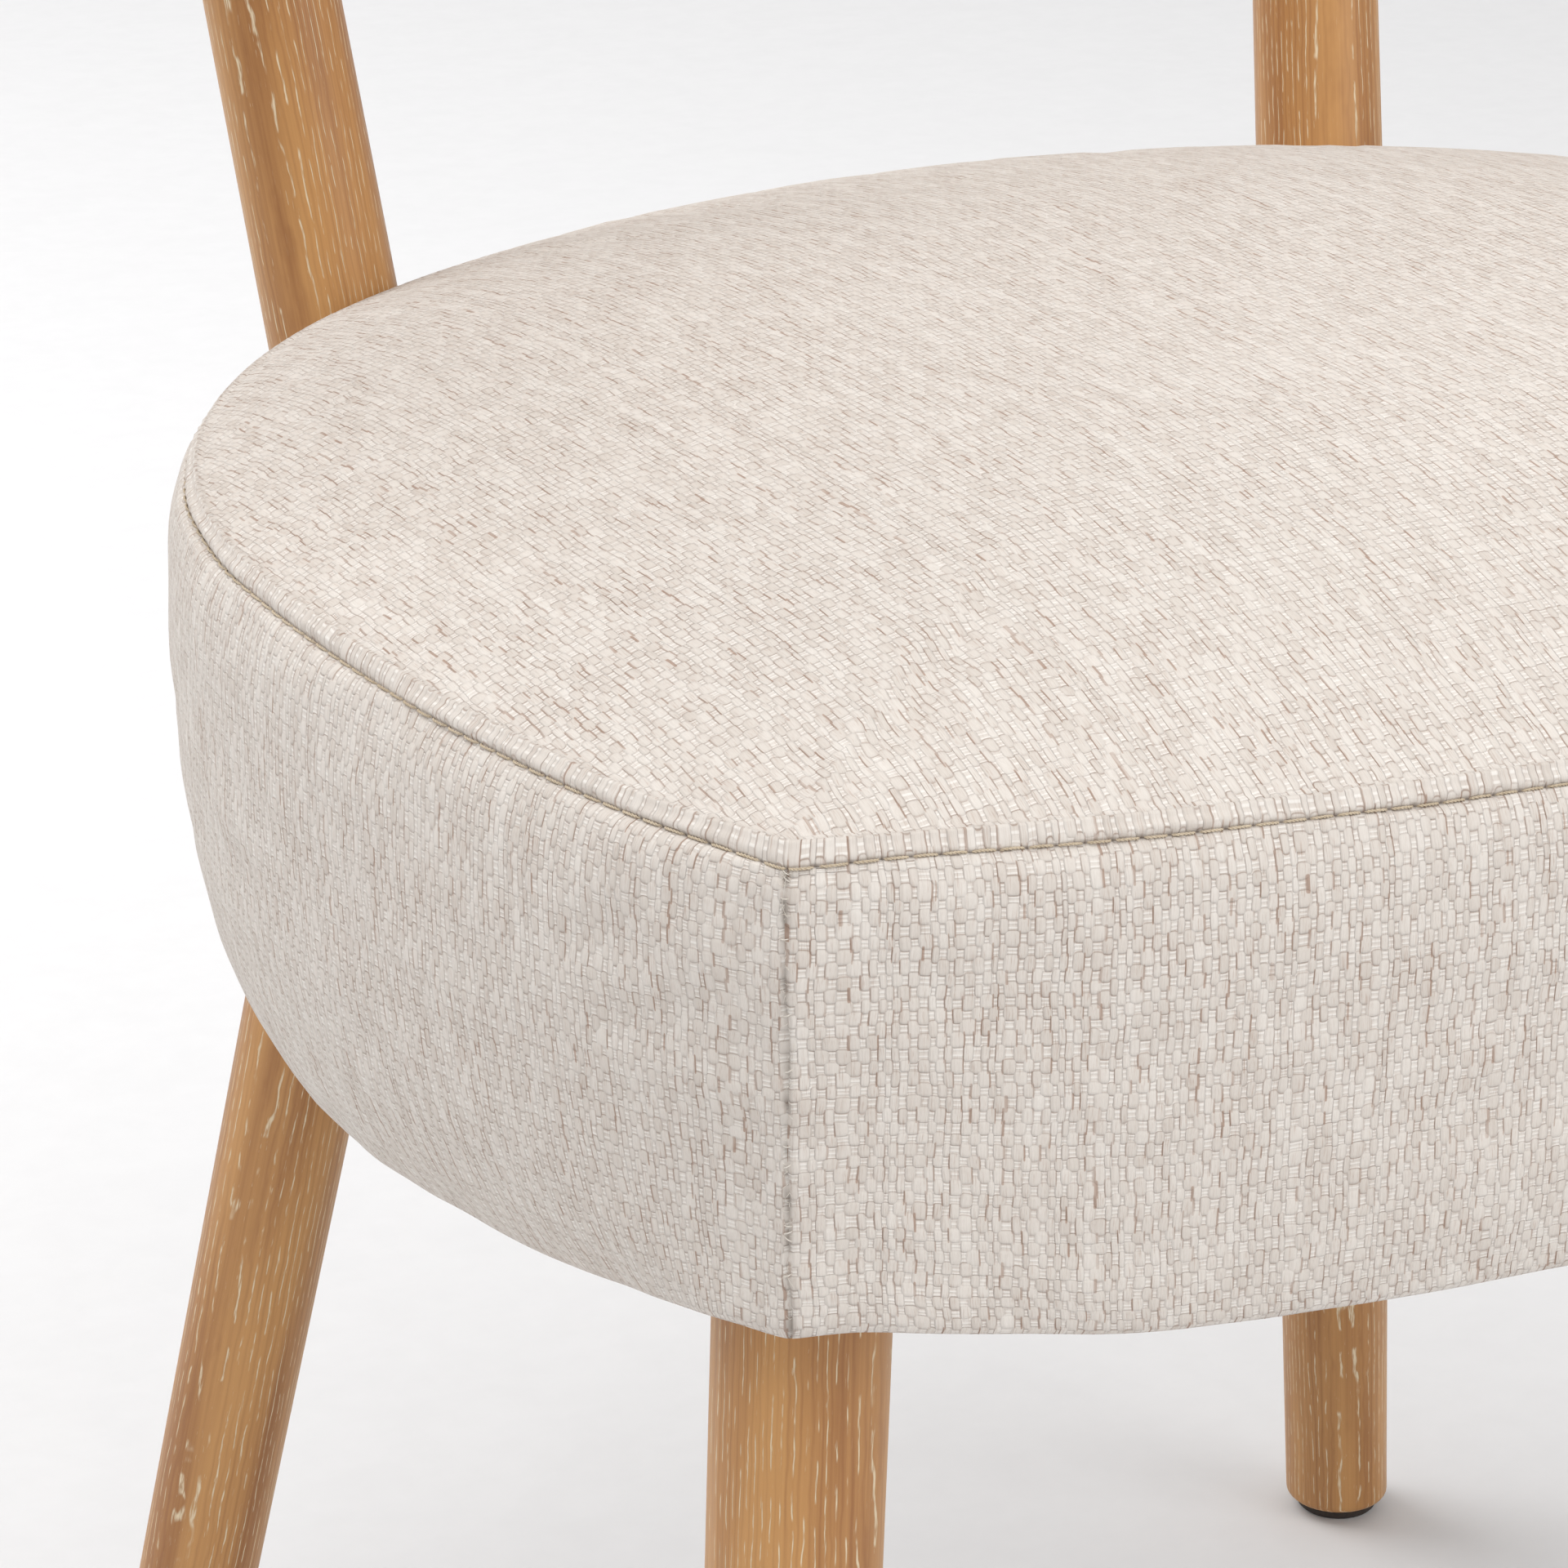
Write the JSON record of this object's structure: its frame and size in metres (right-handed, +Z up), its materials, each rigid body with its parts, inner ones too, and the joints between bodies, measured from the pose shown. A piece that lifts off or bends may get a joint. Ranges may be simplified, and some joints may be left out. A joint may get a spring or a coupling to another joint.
{
  "type": "upholstered armchair",
  "caption": "Armchair with a thick upholstered seat on round oak legs; the rear legs bend up to carry a curved back and arm rail.",
  "frame": {"origin": "on the floor under the middle of the chair's box", "axes": "+Z up; the sitter faces -Y; +X is to the right of someone who looks at the chair from the front"},
  "size_m": [0.5786, 0.5454, 0.7739],
  "materials": {
    "limed_oak": "round solid oak, honey brown with white-filled pores, satin lacquer",
    "dowel_beech": "turned beech dowel",
    "frame_beech": "sawn beech frame timber, unfinished",
    "plywood": "birch plywood, unfinished",
    "foam": "cut upholstery foam",
    "wadding": "polyester wadding over foam",
    "seat_fabric": "chunky oatmeal plain weave with beige flecks",
    "dust_cloth": "black non-woven cloth",
    "brass_insert": "plain",
    "zinc_steel": "zinc plated",
    "glide_plastic": "dark nylon"
  },
  "bodies": {
    "root": {"arm_dowels": "dowel_beech", "arm_left": "limed_oak", "arm_right": "limed_oak", "boxing_front": "seat_fabric", "boxing_padding": "wadding", "boxing_side": "seat_fabric", "cover_top": "seat_fabric", "crest_rail": "limed_oak", "deck_screws": "zinc_steel", "dust_cover": "dust_cloth", "frame_dowels": "dowel_beech", "front_block_left": "frame_beech", "front_block_right": "frame_beech", "front_leg_left": "limed_oak", "front_leg_right": "limed_oak", "front_rail": "frame_beech", "glide_nails": "zinc_steel", "glides": "glide_plastic", "leg_bolts": "zinc_steel", "leg_inserts": "brass_insert", "leg_washers": "zinc_steel", "post_bolts": "zinc_steel", "post_inserts": "brass_insert", "post_washers": "zinc_steel", "rear_block_left": "frame_beech", "rear_block_right": "frame_beech", "rear_leg_left": "limed_oak", "rear_leg_right": "limed_oak", "rear_rail": "frame_beech", "screw_plugs": "limed_oak", "seat_deck": "plywood", "seat_foam": "foam", "side_rail_left": "frame_beech", "side_rail_right": "frame_beech", "staples": "zinc_steel", "tenon_screws": "zinc_steel"}
  },
  "joints": []
}
